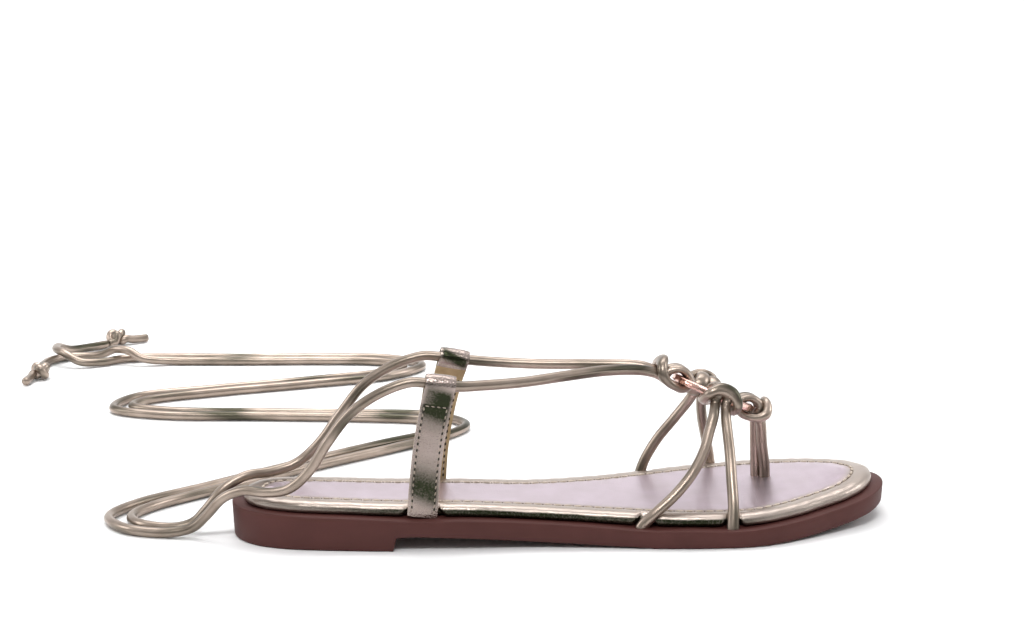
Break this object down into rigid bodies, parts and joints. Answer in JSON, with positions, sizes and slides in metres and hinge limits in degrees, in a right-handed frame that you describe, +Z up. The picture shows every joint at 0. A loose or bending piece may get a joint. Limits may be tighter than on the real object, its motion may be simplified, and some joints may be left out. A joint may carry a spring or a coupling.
{
  "type": "gladiator sandal",
  "caption": "Flat lace-up gladiator sandal for the right foot: toe post, cords hitched to a ring, side straps and long leg ties.",
  "frame": {"origin": "the middle of the heel's flat underside, on the floor", "axes": "+X towards the toe, +Y towards the inner (medial) side of the foot, +Z up"},
  "size_m": [0.3577, 0.4088, 0.0702],
  "materials": {
    "sole_rubber": "matte moulded rubber",
    "footbed_leather": "metallic foil leather, satin",
    "gold_leather": "metallic foil leather, glossy",
    "rose_gold": "polished plating"
  },
  "bodies": {
    "root": {"outsole": "sole_rubber", "footbed": "footbed_leather", "tab_lateral": "gold_leather", "tab_medial": "gold_leather", "ring": "rose_gold", "cord_lateral": "gold_leather", "cord_medial": "gold_leather", "toe_post": "gold_leather", "ankle_tie": "gold_leather", "tie_lateral": "gold_leather", "tie_medial": "gold_leather", "knot_lateral": "gold_leather", "knot_medial": "gold_leather"}
  },
  "joints": []
}
